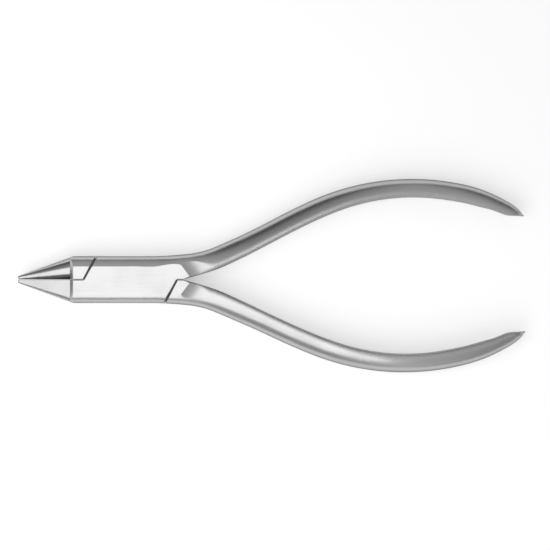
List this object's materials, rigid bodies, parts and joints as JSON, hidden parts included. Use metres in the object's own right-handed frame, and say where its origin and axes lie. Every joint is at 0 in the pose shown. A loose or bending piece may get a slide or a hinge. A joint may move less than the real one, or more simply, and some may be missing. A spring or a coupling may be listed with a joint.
{
  "type": "orthodontic pliers",
  "caption": "Bird-beak wire-bending pliers with a cone beak, a pyramid beak, a long box joint on a flush pin and two curved bow handles.",
  "frame": {"origin": "on the pin's axis, at the back face of the box, which lies on the table", "axes": "+X from the beaks to the handles, +Y towards the female half's handle, +Z along the pin, away from the table"},
  "size_m": [0.1305, 0.0497, 0.0078],
  "materials": {
    "female_steel": "satin stainless steel",
    "male_steel": "satin stainless steel",
    "pin_steel": "satin stainless steel, ground flush with the box"
  },
  "bodies": {
    "female_side": {"female_half": "female_steel", "joint_pin": "pin_steel"},
    "male_side": {"male_half": "male_steel"}
  },
  "joints": [
    {"name": "box_joint", "type": "hinge", "parent": "female_side", "child": "male_side", "pos_m": [0, 0, 0.0039], "axis": [0, 0, -1], "range_deg": [0, 30]}
  ]
}
